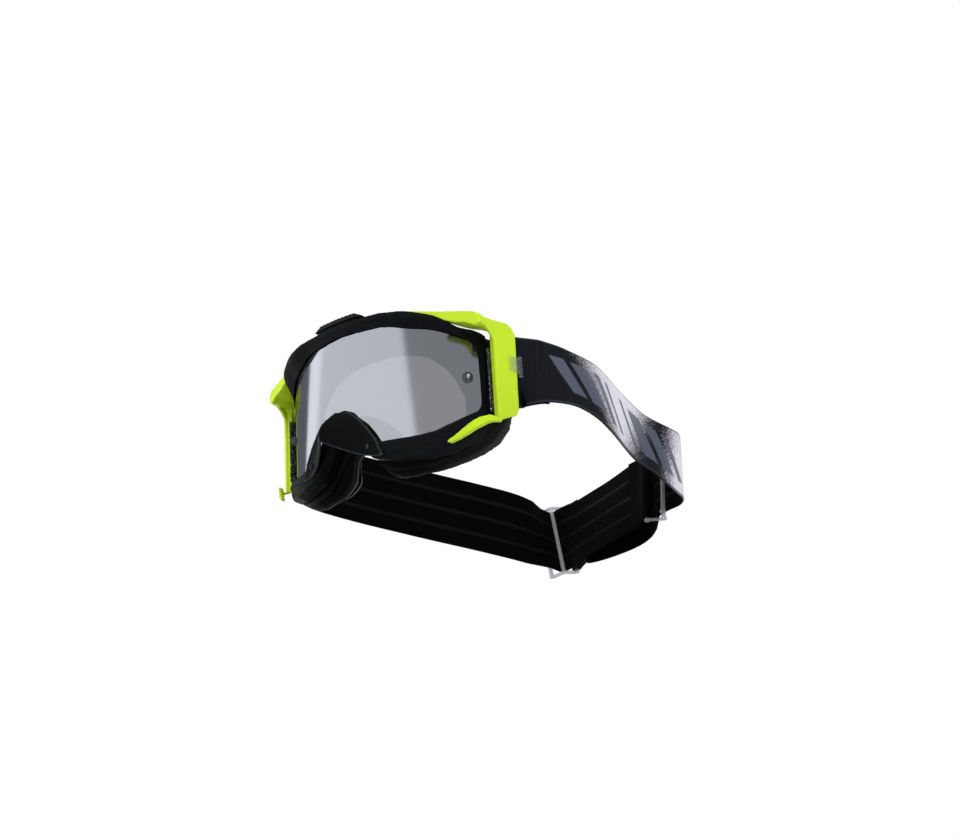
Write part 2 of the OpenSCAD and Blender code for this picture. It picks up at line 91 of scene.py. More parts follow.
# ---------------------------------------------------------------- materials
class Mat:
    """A node material with a few short helpers."""

    def __init__(self, name):
        self.m = bpy.data.materials.new(name)
        self.m.use_nodes = True
        self.t = self.m.node_tree
        self.t.nodes.clear()
        self.out = self.t.nodes.new("ShaderNodeOutputMaterial")

    def n(self, kind, **kw):
        node = self.t.nodes.new(kind)
        for k, v in kw.items():
            setattr(node, k, v)
        return node

    def l(self, a, b):
        self.t.links.new(a, b)

    def set(self, node, **kw):
        for k, v in kw.items():
            node.inputs[k.replace("_", " ")].default_value = v
        return node

    def math(self, op, a, b=None, clamp=False):
        node = self.n("ShaderNodeMath", operation=op, use_clamp=clamp)
        for i, x in enumerate((a, b)):
            if x is None:
                continue
            if isinstance(x, (int, float)):
                node.inputs[i].default_value = x
            else:
                self.l(x, node.inputs[i])
        return node.outputs[0]

    def ramp(self, fac, stops, mode="LINEAR"):
        node = self.n("ShaderNodeValToRGB")
        node.color_ramp.interpolation = mode
        el = node.color_ramp.elements
        while len(el) > 1:
            el.remove(el[-1])
        el[0].position, el[0].color = stops[0][0], (*stops[0][1], 1)
        for p, c in stops[1:]:
            e = el.new(p)
            e.color = (*c, 1)
        self.l(fac, node.inputs["Fac"])
        return node.outputs["Color"]

    def noise(self, vec, scale, detail=3.0, rough=0.5):
        node = self.n("ShaderNodeTexNoise")
        node.inputs["Scale"].default_value = scale
        node.inputs["Detail"].default_value = detail
        node.inputs["Roughness"].default_value = rough
        if vec is not None:
            self.l(vec, node.inputs["Vector"])
        return node.outputs["Fac"]

    def mix(self, fac, a, b, blend="MIX"):
        node = self.n("ShaderNodeMix", data_type="RGBA", blend_type=blend)
        for sock, x in ((0, fac), (6, a), (7, b)):
            if isinstance(x, (int, float)):
                node.inputs[sock].default_value = x
            elif isinstance(x, (tuple, list)):
                node.inputs[sock].default_value = (*x, 1)
            else:
                self.l(x, node.inputs[sock])
        return node.outputs[2]

    def smooth(self, x, lo, hi):
        node = self.n("ShaderNodeMapRange", interpolation_type="SMOOTHSTEP")
        node.inputs["From Min"].default_value = lo
        node.inputs["From Max"].default_value = hi
        self.l(x, node.inputs["Value"])
        return node.outputs["Result"]

    def coords(self):
        return self.n("ShaderNodeTexCoord").outputs["Object"]

    def principled(self, **kw):
        p = self.n("ShaderNodeBsdfPrincipled")
        for k, v in kw.items():
            p.inputs[k.replace("_", " ")].default_value = v
        self.l(p.outputs[0], self.out.inputs["Surface"])
        return p

    def bump(self, p, height, strength=0.2, dist=0.0002):
        node = self.n("ShaderNodeBump")
        node.inputs["Strength"].default_value = strength
        node.inputs["Distance"].default_value = dist
        self.l(height, node.inputs["Height"])
        self.l(node.outputs[0], p.inputs["Normal"])
        return node


def moulded(name, base, worn_and_highlight, rough, spec, grain=0.12, coat=0.0, big=60.0, lip=0.0):
    """Moulded plastic: fine grain, slight change of tone, lighter worn edges; with lip, also a painted highlight along
    the sharpest edges.
    """
    k = Mat(name)
    co = k.coords()
    tone = k.noise(co, big, 4.0)
    fine = k.noise(co, 2600.0, 2.0)
    geo = k.n("ShaderNodeNewGeometry")
    edge = k.smooth(geo.outputs["Pointiness"], 0.53, 0.60)
    wear = k.math("MULTIPLY", edge, k.smooth(k.noise(co, 420.0, 5.0), 0.42, 0.62))
    dark = tuple(c * 0.82 for c in base)
    col = k.mix(tone, dark, base)
    col = k.mix(k.math("MULTIPLY", wear, 0.55), col, worn_and_highlight)
    # painted highlight: a brighter copy of the edge colour along the sharpest edges, where light catches them
    if lip:
        col = k.mix(k.math("MULTIPLY", k.smooth(geo.outputs["Pointiness"], 0.51, 0.56), lip), col, tuple(2.6 * c for c in worn_and_highlight))
    p = k.principled(Specular_IOR_Level=spec, Coat_Weight=coat, Coat_Roughness=0.25)
    k.l(col, p.inputs["Base Color"])
    r = k.math("ADD", k.math("MULTIPLY", tone, 0.16), rough - 0.08)
    k.l(r, p.inputs["Roughness"])
    k.bump(p, k.math("ADD", fine, k.math("MULTIPLY", tone, 0.6)), grain, 0.00012)
    return k.m


def foamed(name, base, light, cell, line=None, depth=0.0, fuzz=None):
    """Cut foam: open cells as bump and specks, with an optional painted highlight line (the line colour at a given
    depth) where light catches the rim.
    """
    k = Mat(name)
    co = k.coords()
    vor = k.n("ShaderNodeTexVoronoi")
    vor.inputs["Scale"].default_value = cell
    k.l(co, vor.inputs["Vector"])
    cells = vor.outputs["Distance"]
    n = k.noise(co, cell * 0.5, 4.0, 0.6)
    col = k.mix(k.smooth(k.math("ADD", cells, k.math("MULTIPLY", n, 0.5)), 0.35, 1.0), base, light)
    if line:
        sep = k.n("ShaderNodeSeparateXYZ")
        k.l(co, sep.inputs[0])
        # depth of a point behind the curve of the frame, in millimetres
        x = k.math("ADD", k.math("MULTIPLY", sep.outputs[0], 1000.0), OX)
        y = k.math("ADD", k.math("MULTIPLY", sep.outputs[1], 1000.0), OY)
        x2 = k.math("SUBTRACT", 107.0 * 107.0, k.math("MULTIPLY", x, x))
        q = k.math("ADD", y, k.math("SQRT", k.math("MAXIMUM", x2, 0.0)))
        d = k.math("ABSOLUTE", k.math("SUBTRACT", q, depth))
        # painted highlight: the line colour at that depth; on fleece, over the whole face beyond it
        f = k.smooth(q, depth - 0.2, depth + 0.2) if fuzz else k.math("SUBTRACT", 1.0, k.smooth(d, 0.35, 1.0))
        col = k.mix(f, col, line)
    p = k.principled(Specular_IOR_Level=0.08, Sheen_Weight=0.95 if fuzz else 0.03,
                     Sheen_Roughness=0.22 if fuzz else 0.5, Roughness=0.95)
    p.inputs["Sheen Tint"].default_value = (*(fuzz or (0.7, 0.7, 0.72)), 1)
    k.l(col, p.inputs["Base Color"])
    k.bump(p, k.math("ADD", k.math("MULTIPLY", cells, -1.0), n), 0.55, 0.0004)
    return k.m


def steel_mat():
    k = Mat("brushed_steel")
    co = k.coords()
    mp = k.n("ShaderNodeMapping")
    mp.inputs["Scale"].default_value = (3000, 3000, 120)
    k.l(co, mp.inputs["Vector"])
    n = k.noise(mp.outputs[0], 1.0, 3.0)
    p = k.principled(Metallic=1.0)
    k.l(k.mix(n, (0.42, 0.42, 0.44), (0.62, 0.62, 0.64)), p.inputs["Base Color"])
    k.l(k.math("ADD", k.math("MULTIPLY", n, 0.2), 0.25), p.inputs["Roughness"])
    k.bump(p, n, 0.1, 0.0001)
    return k.m


def clear_mat(name, tint, body, opaque, rough=0.12, outline=0.0, rim=0.5):
    """Clear or milky plastic: part see-through, part glossy body, with
    outlines that gather the light."""
    k = Mat(name)
    co = k.coords()
    n = k.noise(co, 300.0, 4.0)
    tr = k.n("ShaderNodeBsdfTransparent")
    tr.inputs["Color"].default_value = (*tint, 1)
    p = k.n("ShaderNodeBsdfPrincipled")
    p.inputs["Specular IOR Level"].default_value = 0.9
    p.inputs["Coat Weight"].default_value = 0.6
    p.inputs["Coat Roughness"].default_value = 0.06
    k.l(k.mix(n, tuple(c * 0.85 for c in body), body), p.inputs["Base Color"])
    k.l(k.math("ADD", k.math("MULTIPLY", n, 0.1), rough), p.inputs["Roughness"])
    lw = k.n("ShaderNodeLayerWeight")
    lw.inputs["Blend"].default_value = 0.35
    f = k.math("ADD", k.math("MULTIPLY", lw.outputs["Facing"], 0.1 if outline else rim), opaque, True)
    if outline:
        geo = k.n("ShaderNodeNewGeometry")
        brim = k.math("MULTIPLY", k.smooth(geo.outputs["Pointiness"], 0.515, 0.57), outline)
        f = k.math("ADD", f, brim, True)
    mx = k.n("ShaderNodeMixShader")
    k.l(f, mx.inputs[0])
    k.l(tr.outputs[0], mx.inputs[1])
    k.l(p.outputs[0], mx.inputs[2])
    k.l(mx.outputs[0], k.out.inputs["Surface"])
    k.bump(p, k.noise(co, 900.0, 2.0), 0.08, 0.0002)
    return k.m


def stud_mat(name):
    """Clear stud: a painted highlight in the middle of its head, painted shade round the rim."""
    k = Mat(name)
    co = k.coords()
    sep = k.n("ShaderNodeSeparateXYZ")
    k.l(co, sep.inputs[0])
    # the middle of the stud, after the frame's bend, in the row frame
    sn, cn = 0.690251, 0.723570
    x0, y0, z0 = 107.3 * sn, FACE_Y - 107.3 * cn, -38.0
    t = x0 / 78.3
    cx, cy = x0 - 3.1 * t * t, y0 + 3.9 * t * t
    x = k.math("SUBTRACT", k.math("ABSOLUTE", k.math("ADD", k.math("MULTIPLY", sep.outputs[0], 1000.0), OX)), cx)
    y = k.math("SUBTRACT", k.math("ADD", k.math("MULTIPLY", sep.outputs[1], 1000.0), OY), cy)
    z = k.math("SUBTRACT", k.math("SUBTRACT", k.math("MULTIPLY", sep.outputs[2], 1000.0), OZ), z0)
    u = k.math("ADD", k.math("MULTIPLY", x, cn), k.math("MULTIPLY", y, sn))
    r = k.math("SQRT", k.math("ADD", k.math("MULTIPLY", u, u), k.math("MULTIPLY", z, z)))
    # painted shade: dark, more opaque body round the rim; painted highlight: light body in the middle of the head
    ring = k.smooth(r, 1.5, 2.1)
    painted_highlight_mask = k.math("SUBTRACT", 1.0, k.smooth(r, 0.7, 1.3))
    n = k.noise(co, 500.0, 3.0)
    tr = k.n("ShaderNodeBsdfTransparent")
    tr.inputs["Color"].default_value = (0.93, 0.94, 0.96, 1)
    p = k.n("ShaderNodeBsdfPrincipled")
    p.inputs["Specular IOR Level"].default_value = 0.8
    p.inputs["Coat Weight"].default_value = 0.6
    p.inputs["Coat Roughness"].default_value = 0.06
    body = k.mix(painted_highlight_mask, (0.012, 0.012, 0.014), (0.72, 0.73, 0.76))
    k.l(k.mix(k.math("MULTIPLY", n, 0.3), body, (0.2, 0.2, 0.21)), p.inputs["Base Color"])
    k.l(k.math("ADD", k.math("MULTIPLY", n, 0.1), 0.08), p.inputs["Roughness"])
    f = k.math("ADD", k.math("MULTIPLY", ring, 0.62), k.math("MULTIPLY", painted_highlight_mask, 0.5), True)
    mx = k.n("ShaderNodeMixShader")
    k.l(f, mx.inputs[0])
    k.l(tr.outputs[0], mx.inputs[1])
    k.l(p.outputs[0], mx.inputs[2])
    k.l(mx.outputs[0], k.out.inputs["Surface"])
    return k.m


def mesh_cloth(name):
    """Open speckled mesh over the vents."""
    k = Mat(name)
    co = k.coords()
    vor = k.n("ShaderNodeTexVoronoi")
    vor.inputs["Scale"].default_value = 900.0
    k.l(co, vor.inputs["Vector"])
    n = k.noise(co, 1300.0, 2.0)
    f = k.math("MULTIPLY", k.smooth(vor.outputs["Distance"], 0.45, 0.75), k.smooth(n, 0.5, 0.62))
    p = k.principled(Roughness=0.7, Specular_IOR_Level=0.4)
    k.l(k.mix(f, (0.006, 0.006, 0.007), (0.55, 0.56, 0.58)), p.inputs["Base Color"])
    k.bump(p, vor.outputs["Distance"], 0.6, 0.0004)
    # light passes between the threads
    tr = k.n("ShaderNodeBsdfTransparent")
    mx = k.n("ShaderNodeMixShader")
    k.l(k.math("SUBTRACT", 1.0, k.math("MULTIPLY", k.smooth(vor.outputs["Distance"], 0.15, 0.5), 0.25)), mx.inputs[0])
    k.l(tr.outputs[0], mx.inputs[1])
    k.l(p.outputs[0], mx.inputs[2])
    k.l(mx.outputs[0], k.out.inputs["Surface"])
    return k.m


def lens_mat():
    """Silver mirror coating with a slight see-through tint; the coating stops
    short of the two upper outer corners."""
    k = Mat("lens_mirror")
    co = k.coords()
    smear = k.noise(co, 45.0, 5.0, 0.6)
    fine = k.noise(co, 700.0, 3.0)
    gl = k.n("ShaderNodeBsdfGlossy")
    k.l(k.mix(smear, (0.54, 0.572, 0.632), (0.58, 0.60, 0.645)), gl.inputs["Color"])
    k.l(k.math("ADD", k.math("MULTIPLY", smear, 0.05), 0.05), gl.inputs["Roughness"])
    tr = k.n("ShaderNodeBsdfTransparent")
    tr.inputs["Color"].default_value = (0.62, 0.60, 0.59, 1)
    at = k.n("ShaderNodeAttribute", attribute_name="coating")
    mx = k.n("ShaderNodeMixShader")
    lw = k.n("ShaderNodeLayerWeight")
    lw.inputs["Blend"].default_value = 0.25
    base = k.math("ADD", 0.86, k.math("MULTIPLY", lw.outputs["Fresnel"], 0.12))
    f = k.math("MULTIPLY", at.outputs["Fac"], base, True)
    k.l(f, mx.inputs[0])
    k.l(tr.outputs[0], mx.inputs[1])
    k.l(gl.outputs[0], mx.inputs[2])
    k.l(mx.outputs[0], k.out.inputs["Surface"])
    bp = k.n("ShaderNodeBump")
    bp.inputs["Strength"].default_value = 0.01
    bp.inputs["Distance"].default_value = 0.0001
    k.l(fine, bp.inputs["Height"])
    k.l(bp.outputs[0], gl.inputs["Normal"])
    return k.m


def lens_back_mat():
    k = Mat("lens_back")
    co = k.coords()
    n = k.noise(co, 60.0, 3.0)
    tr = k.n("ShaderNodeBsdfTransparent")
    tr.inputs["Color"].default_value = (0.93, 0.93, 0.93, 1)
    p = k.n("ShaderNodeBsdfPrincipled")
    p.inputs["Base Color"].default_value = (0.3, 0.31, 0.33, 1)
    k.l(k.math("ADD", k.math("MULTIPLY", n, 0.1), 0.1), p.inputs["Roughness"])
    mx = k.n("ShaderNodeMixShader")
    mx.inputs[0].default_value = 0.06
    k.l(tr.outputs[0], mx.inputs[1])
    k.l(p.outputs[0], mx.inputs[2])
    k.l(mx.outputs[0], k.out.inputs["Surface"])
    return k.m


def webbing_mat(name, printed):
    """Elastic webbing. Attribute sv holds the arc length along the strap, the
    place across it (both in millimetres) and +1 outside or -1 inside."""
    k = Mat(name)
    at = k.n("ShaderNodeAttribute", attribute_name="sv")
    sep = k.n("ShaderNodeSeparateXYZ")
    k.l(at.outputs["Vector"], sep.inputs[0])
    s, v, side = sep.outputs
    co = k.coords()
    # ribs across the webbing and the warp along it
    rib = k.math("SINE", k.math("MULTIPLY", s, 2 * math.pi / 1.1))
    warp = k.math("SINE", k.math("MULTIPLY", v, 2 * math.pi / 1.4))
    weave = k.math("ADD", k.math("MULTIPLY", rib, 0.7), k.math("MULTIPLY", warp, 0.5))
    fuzz = k.noise(co, 1500.0, 3.0, 0.7)
    soft = k.noise(co, 70.0, 4.0)
    p = k.principled(Specular_IOR_Level=0.06, Sheen_Weight=0.02, Sheen_Roughness=0.4, Roughness=0.82)
    p.inputs["Sheen Tint"].default_value = (0.6, 0.62, 0.7, 1)
    black = k.mix(k.smooth(weave, -1.2, 1.2), (0.0004, 0.0004, 0.00045), (0.0016, 0.0016, 0.0018))
    edge = k.smooth(k.math("ABSOLUTE", v), 21.3, 22.2)
    if printed:
        grit = k.noise(co, 950.0, 2.0, 0.75)
        g = k.math("MULTIPLY", k.math("SUBTRACT", grit, 0.5), 46.0)
        drift = k.math("ADD", s, g)
        # a fade out of the dark with a rough grain, dark again further round
        up = k.smooth(k.math("ADD", drift, k.math("MULTIPLY", v, 0.5)), 44.0, 74.0)
        down = k.math("SUBTRACT", 1.0, k.smooth(k.math("ADD", drift, k.math("MULTIPLY", v, -0.6)), 88.0, 118.0))
        again = k.smooth(k.math("ADD", drift, k.math("MULTIPLY", v, -0.2)), 132.0, 152.0)
        off = k.math("SUBTRACT", 1.0, k.smooth(drift, 176.0, 196.0))
        lightness = k.math("MAXIMUM", k.math("MULTIPLY", up, down), k.math("MULTIPLY", again, off))
        navy = k.mix(k.smooth(weave, -1.2, 1.2), (0.0042, 0.0045, 0.0062), (0.0095, 0.0102, 0.0145))
        pale = k.mix(soft, (0.50, 0.485, 0.535), (0.72, 0.70, 0.765))
        col = k.mix(lightness, navy, pale)
        # plain slanted bars in slate, a racing stripe motif
        sl = k.math("ADD", s, k.math("MULTIPLY", v, 0.55))
        slate = k.mix(grit, (0.055, 0.062, 0.088), (0.10, 0.11, 0.145))
        for lo, hi, v0, v1 in ((24, 34, -13, 13), (39, 54, -13, 13), (60, 66, -15, 15), (72, 76, -15, 15),
                               (92, 96, -15, 15), (103, 118, -14, 14), (124, 136, -14, 14), (141, 146, -14, 14)):
            inside = k.math("MULTIPLY", k.smooth(sl, lo - 0.4, lo + 0.4),
                            k.math("SUBTRACT", 1.0, k.smooth(sl, hi - 0.4, hi + 0.4)))
            band = k.math("MULTIPLY", k.smooth(v, v0 - 0.4, v0 + 0.4),
                          k.math("SUBTRACT", 1.0, k.smooth(v, v1 - 0.4, v1 + 0.4)))
            f = k.math("MULTIPLY", k.math("MULTIPLY", inside, band), 0.85)
            col = k.mix(f, col, slate)
        col = k.mix(k.math("MULTIPLY", edge, 0.75), col, (0.03, 0.03, 0.04))
        outer = k.smooth(side, -0.1, 0.1)
        col = k.mix(outer, black, col)
    else:
        col = black
    # soft grip lines inside
    lines = None
    for c in (-12.0, 0.0, 12.0):
        f = k.math("SUBTRACT", 1.0, k.smooth(k.math("ABSOLUTE", k.math("SUBTRACT", v, c)), 0.9, 1.3))
        lines = f if lines is None else k.math("MAXIMUM", lines, f)
    inner = k.math("SUBTRACT", 1.0, k.smooth(side, -0.9, -0.6))
    grip = k.math("MULTIPLY", lines, inner)
    col = k.mix(k.math("MULTIPLY", grip, 0.9), col, (0.0052, 0.0052, 0.0055))
    k.l(col, p.inputs["Base Color"])
    k.l(k.math("SUBTRACT", k.math("ADD", 0.74, k.math("MULTIPLY", fuzz, 0.2)), k.math("MULTIPLY", grip, 0.4)), p.inputs["Roughness"])
    k.bump(p, k.math("ADD", weave, k.math("MULTIPLY", fuzz, 0.8)), 0.4, 0.0002)
    return k.m


def thread_mat():
    k = Mat("thread")
    n = k.noise(k.coords(), 2500.0, 2.0)
    p = k.principled(Roughness=0.7, Specular_IOR_Level=0.3)
    k.l(k.mix(n, (0.007, 0.007, 0.008), (0.017, 0.017, 0.019)), p.inputs["Base Color"])
    k.bump(p, n, 0.3, 0.0001)
    return k.m


M = {
    "frame_black": moulded("frame_black", (0.0030, 0.0034, 0.0046), (0.011, 0.012, 0.0145), 0.5, 0.09),
    "chassis_black": moulded("chassis_black", (0.003, 0.003, 0.0038), (0.009, 0.009, 0.011), 0.55, 0.1),
    # nose guard: its light edge colour serves as wear and, with lip, as a painted highlight along its sharp edges
    "guard_black": moulded("guard_black", (0.0014, 0.0015, 0.0019), (0.020, 0.026, 0.026), 0.5, 0.09, lip=0.8),
    "cover_grey": moulded("cover_grey", (0.007, 0.0073, 0.008), (0.022, 0.022, 0.024), 0.45, 0.15),
    "yellow_plastic": moulded("yellow_plastic", (0.455, 0.655, 0.010), (0.60, 0.84, 0.08), 0.38, 0.36, grain=0.05, coat=0.08, big=35.0),
    "stud": stud_mat("clear_stud"),
    "steel": steel_mat(),
    "black_steel": moulded("blackened_steel", (0.003, 0.003, 0.0034), (0.012, 0.012, 0.013), 0.45, 0.12),
    "clear_plastic": clear_mat("clear_plastic", (0.9, 0.91, 0.92), (0.62, 0.63, 0.65), 0.05, outline=0.6),
    "slider_plastic": clear_mat("slider_plastic", (0.80, 0.81, 0.83), (0.60, 0.605, 0.62), 0.36, 0.16, outline=0.35),
    "mesh": mesh_cloth("vent_mesh"),
    "vent_foam": foamed("vent_foam", (0.006, 0.006, 0.006), (0.03, 0.03, 0.031), 900.0),
    "foam_black": foamed("foam_black", (0.002, 0.002, 0.0021), (0.008, 0.008, 0.0082), 1500.0),
    # painted highlight lines: a lit band on the grey foam and a light rim on the fleece's back face
    "foam_grey": foamed("foam_grey", (0.011, 0.011, 0.0108), (0.034, 0.034, 0.033), 1500.0, (0.19, 0.186, 0.18), 131.4),
    "fleece": foamed("fleece", (0.0035, 0.0032, 0.0034), (0.014, 0.0125, 0.013), 2200.0, (0.27, 0.225, 0.205), 133.6, fuzz=(0.8, 0.66, 0.6)),
    "lens": lens_mat(), "lens_back": lens_back_mat(),
    "webbing_print": webbing_mat("webbing_print", True),
    "webbing": webbing_mat("webbing", False),
    "thread": thread_mat(),
}


# ------------------------------------------------------------- mesh helpers
def new_mesh(name, verts, faces, mats, smooth=True):
    me = bpy.data.meshes.new(name)
    me.from_pydata([tuple(map(float, v)) for v in verts], [], [tuple(map(int, f)) for f in faces])
    me.update()
    for mt in mats:
        me.materials.append(mt)
    if smooth:
        me.polygons.foreach_set("use_smooth", [True] * len(me.polygons))
    ob = bpy.data.objects.new(name, me)
    coll.objects.link(ob)
    return ob


def remade(name, node, voxel, rounds, mat, shape=None, factor=0.5, own=None):
    """A CAD solid as one closed moulded skin with soft edges. shape(P) may move
    the points (working frame, mm) before the last smoothing."""
    me = NODES[node].data.copy()
    ob = bpy.data.objects.new(name, me)
    coll.objects.link(ob)
    bm = bmesh.new()
    bm.from_mesh(me)
    bmesh.ops.remove_doubles(bm, verts=bm.verts, dist=2e-6)
    bm.to_mesh(me)
    bm.free()
    md = ob.modifiers.new("remesh", "REMESH")
    md.mode, md.voxel_size, md.adaptivity = "VOXEL", voxel, 0.0
    if rounds:
        sm = ob.modifiers.new("smooth", "SMOOTH")
        sm.factor, sm.iterations = factor, rounds
    dg = bpy.context.evaluated_depsgraph_get()
    out = bpy.data.meshes.new_from_object(ob.evaluated_get(dg))
    ob.modifiers.clear()
    ob.data = out
    out.name = name
    if shape is not None:
        co = np.zeros(len(out.vertices) * 3)
        out.vertices.foreach_get("co", co)
        P = work(co.reshape(-1, 3))
        P = shape(P)
        out.vertices.foreach_set("co", row(P).ravel())
        out.update()
    out.materials.clear()
    out.materials.append(mat)
    out.polygons.foreach_set("use_smooth", [True] * len(out.polygons))
    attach(ob, own or BODY[node])
    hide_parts(node)
    return ob


def seg_dist(P, line):
    """Distance in the x, z plane from points to a polyline."""
    best = np.full(len(P), 1e9)
    q = P[:, [0, 2]]
    for a, b in zip(line[:-1], line[1:]):
        a, b = np.array(a, float), np.array(b, float)
        d = b - a
        t = np.clip(((q - a) @ d) / (d @ d), 0, 1)
        best = np.minimum(best, np.linalg.norm(q - (a + t[:, None] * d), axis=1))
    return best


def both(line):
    return [list(p) for p in line], [[-p[0], p[1]] for p in line]


# --------------------------------------------------------------- half outlines
OPENING = [[0, 0.2], [8, -0.2], [16, -0.5], [28, -0.6], [36, -2], [44, -4.4],
           [54, -7], [61, -9.5], [69, -12.6], [75, -16.5], [77, -19.5], [78, -26],
           [78.3, -51.5], [78, -56.5], [76.5, -59.5], [66, -66], [57, -71],
           [48.5, -72.8], [38, -73.3], [26.5, -73.3], [25, -72], [17, -61.3],
           [9, -51], [2.5, -47.9], [0, -47.9]]
FRAME_OUT = [[0, 7], [10, 7], [19, 6.3], [31.5, 5.5], [43.5, 3.2], [59, -1.7],
             [71, -7], [78, -8.6], [82.5, -12], [83.4, -16.5], [84, -53], [84, -62.5],
             [74.5, -78], [63.7, -83.7], [50.6, -86.6], [39.7, -86.2], [28.3, -84.6],
             [22, -83], [16, -76], [9, -66], [4, -61.5], [0, -60]]


def ring(half):
    h = [list(p) for p in half]
    back = [[-p[0], p[1]] for p in reversed(h) if p[0] > 0.01]
    return h + back + [h[0]]


OUT_RING, OPEN_RING = ring(FRAME_OUT), ring(OPENING)

def ease(x, lo, hi):
    t = np.clip((np.asarray(x, float) - lo) / (hi - lo), 0, 1)
    return t * t * (3 - 2 * t)


def bend(P, w=1.0):
    """The lens and what holds it curve back more tightly towards the sides."""
    Q = np.array(P, float)
    t = np.clip(np.abs(Q[:, 0]) / 78.3, 0, 1.12)
    m = t * t * w
    Q[:, 0] -= np.sign(Q[:, 0]) * 3.1 * m
    Q[:, 1] += 3.9 * m
    return Q


# ---------------------------------------------------------------- front frame
RIDGE = [[0, -66.5], [12, -71], [20, -79.5], [32, -80.6], [45, -81], [58, -78.5],
         [68, -73.5], [76, -66]]


def shape_front(P):
    r = np.hypot(P[:, 0], P[:, 1] - FACE_Y)
    depth = 109.0 - r
    d_out = seg_dist(P, OUT_RING)
    face = np.clip(1.0 - depth / 9.5, 0, 1)
    # chamfer towards the outer edge
    cut = 1.7 * np.clip(1 - d_out / 4.2, 0, 1) ** 1.3 * face
    # raised edge and shallow groove along the lower part
    ra, rb = both(RIDGE)
    d = np.minimum(seg_dist(P, ra), seg_dist(P, rb))
    front = (depth < 2.0).astype(float)
    ridge = 0.55 * np.exp(-(d / 1.1) ** 2)
    below = 0.9 * np.exp(-((d - 2.6) / 1.6) ** 2) * (P[:, 2] < -60)
    # fine step round the opening
    d_in = seg_dist(P, OPEN_RING)
    lip = 0.30 * np.exp(-((d_in - 2.4) / 0.7) ** 2)
    seam = 0.35 * np.exp(-(np.abs(P[:, 0] - 3) / 0.5) ** 2) * (P[:, 2] > -4)
    z, ax = P[:, 2], np.abs(P[:, 0])
    low = np.clip(1 - ease(z, -13, -2) - (1 - ease(z, -76, -66)), 0, 1)
    side = low * ease(ax, 67, 78)
    # the brow stands further forward towards its outer edge
    brow = 5.2 * ease(z, -17, -5) * ease(d_in, 0.5, 6.0) * face
    brow *= (0.2 + 0.8 * ease(ax, 14, 42)) * (1 - ease(ax, 58, 73) * (1 - 0.7 * ease(z, -9, 0)))
    cut *= 1 - 0.6 * ease(z, -22, -8)
    move = (-cut + brow + front * (ridge - below * 0.5 - lip - seam)) * (1 - side)
    sunk = side * np.maximum(r - 105.1, 0)
    move -= sunk
    n = np.stack([P[:, 0] / r, (P[:, 1] - FACE_Y) / r, np.zeros(len(P))], 1)
    Q = P + n * move[:, None]
    Q[:, 2] += 0.4 * (sunk - 0.5 * brow * ease(ax, 66, 76))
    Q[:, 2] += 1.4 * ease(ax, 36, 50) * (1 - ease(ax, 60, 74)) * ease(z, -12, -3) * ease(d_in, 1, 6)
    Q[:, 2] += 1.5 * ease(ax, 42, 62) * ease(z, -26, -14) * (1 - ease(d_in, 3, 7))
    return bend(Q)


def shape_chassis(P):
    r = np.hypot(P[:, 0], P[:, 1] - FACE_Y)
    return bend(P, 1 - ease(103.6 - r, 0, 9))


front = remade("front_frame_shell", "front_frame", 0.00062, 5, M["frame_black"], shape_front)
chassis = remade("chassis_shell", "chassis", 0.0007, 2, M["chassis_black"], shape_chassis)


# ----------------------------------------------------------------------- lens
def column(x, lap):
    """Lowest and highest z of the lens at a place x across it."""
    pts = np.array(OPENING, float)
    i_low = 17  # from here on the outline runs back along the bottom
    top = pts[:13]
    low = pts[13:]
    ax = min(abs(x), 80.25)
    # the outline moved outwards by lap
    tx, tz = top[:, 0].copy(), top[:, 1] + lap
    tx[-4:] += lap * 0.9
    tx[-3:] += lap * 0.1
    tz[-4:] -= [0, lap * 0.6, lap, lap]
    lx, lz = low[:, 0].copy(), low[:, 1] - lap * 1.08
    lx[:2] += lap
    lz[:1] += lap
    zt = np.interp(ax, tx, tz)
    o = np.argsort(lx)
    zl = np.interp(ax, lx[o], lz[o])
    return zl, zt


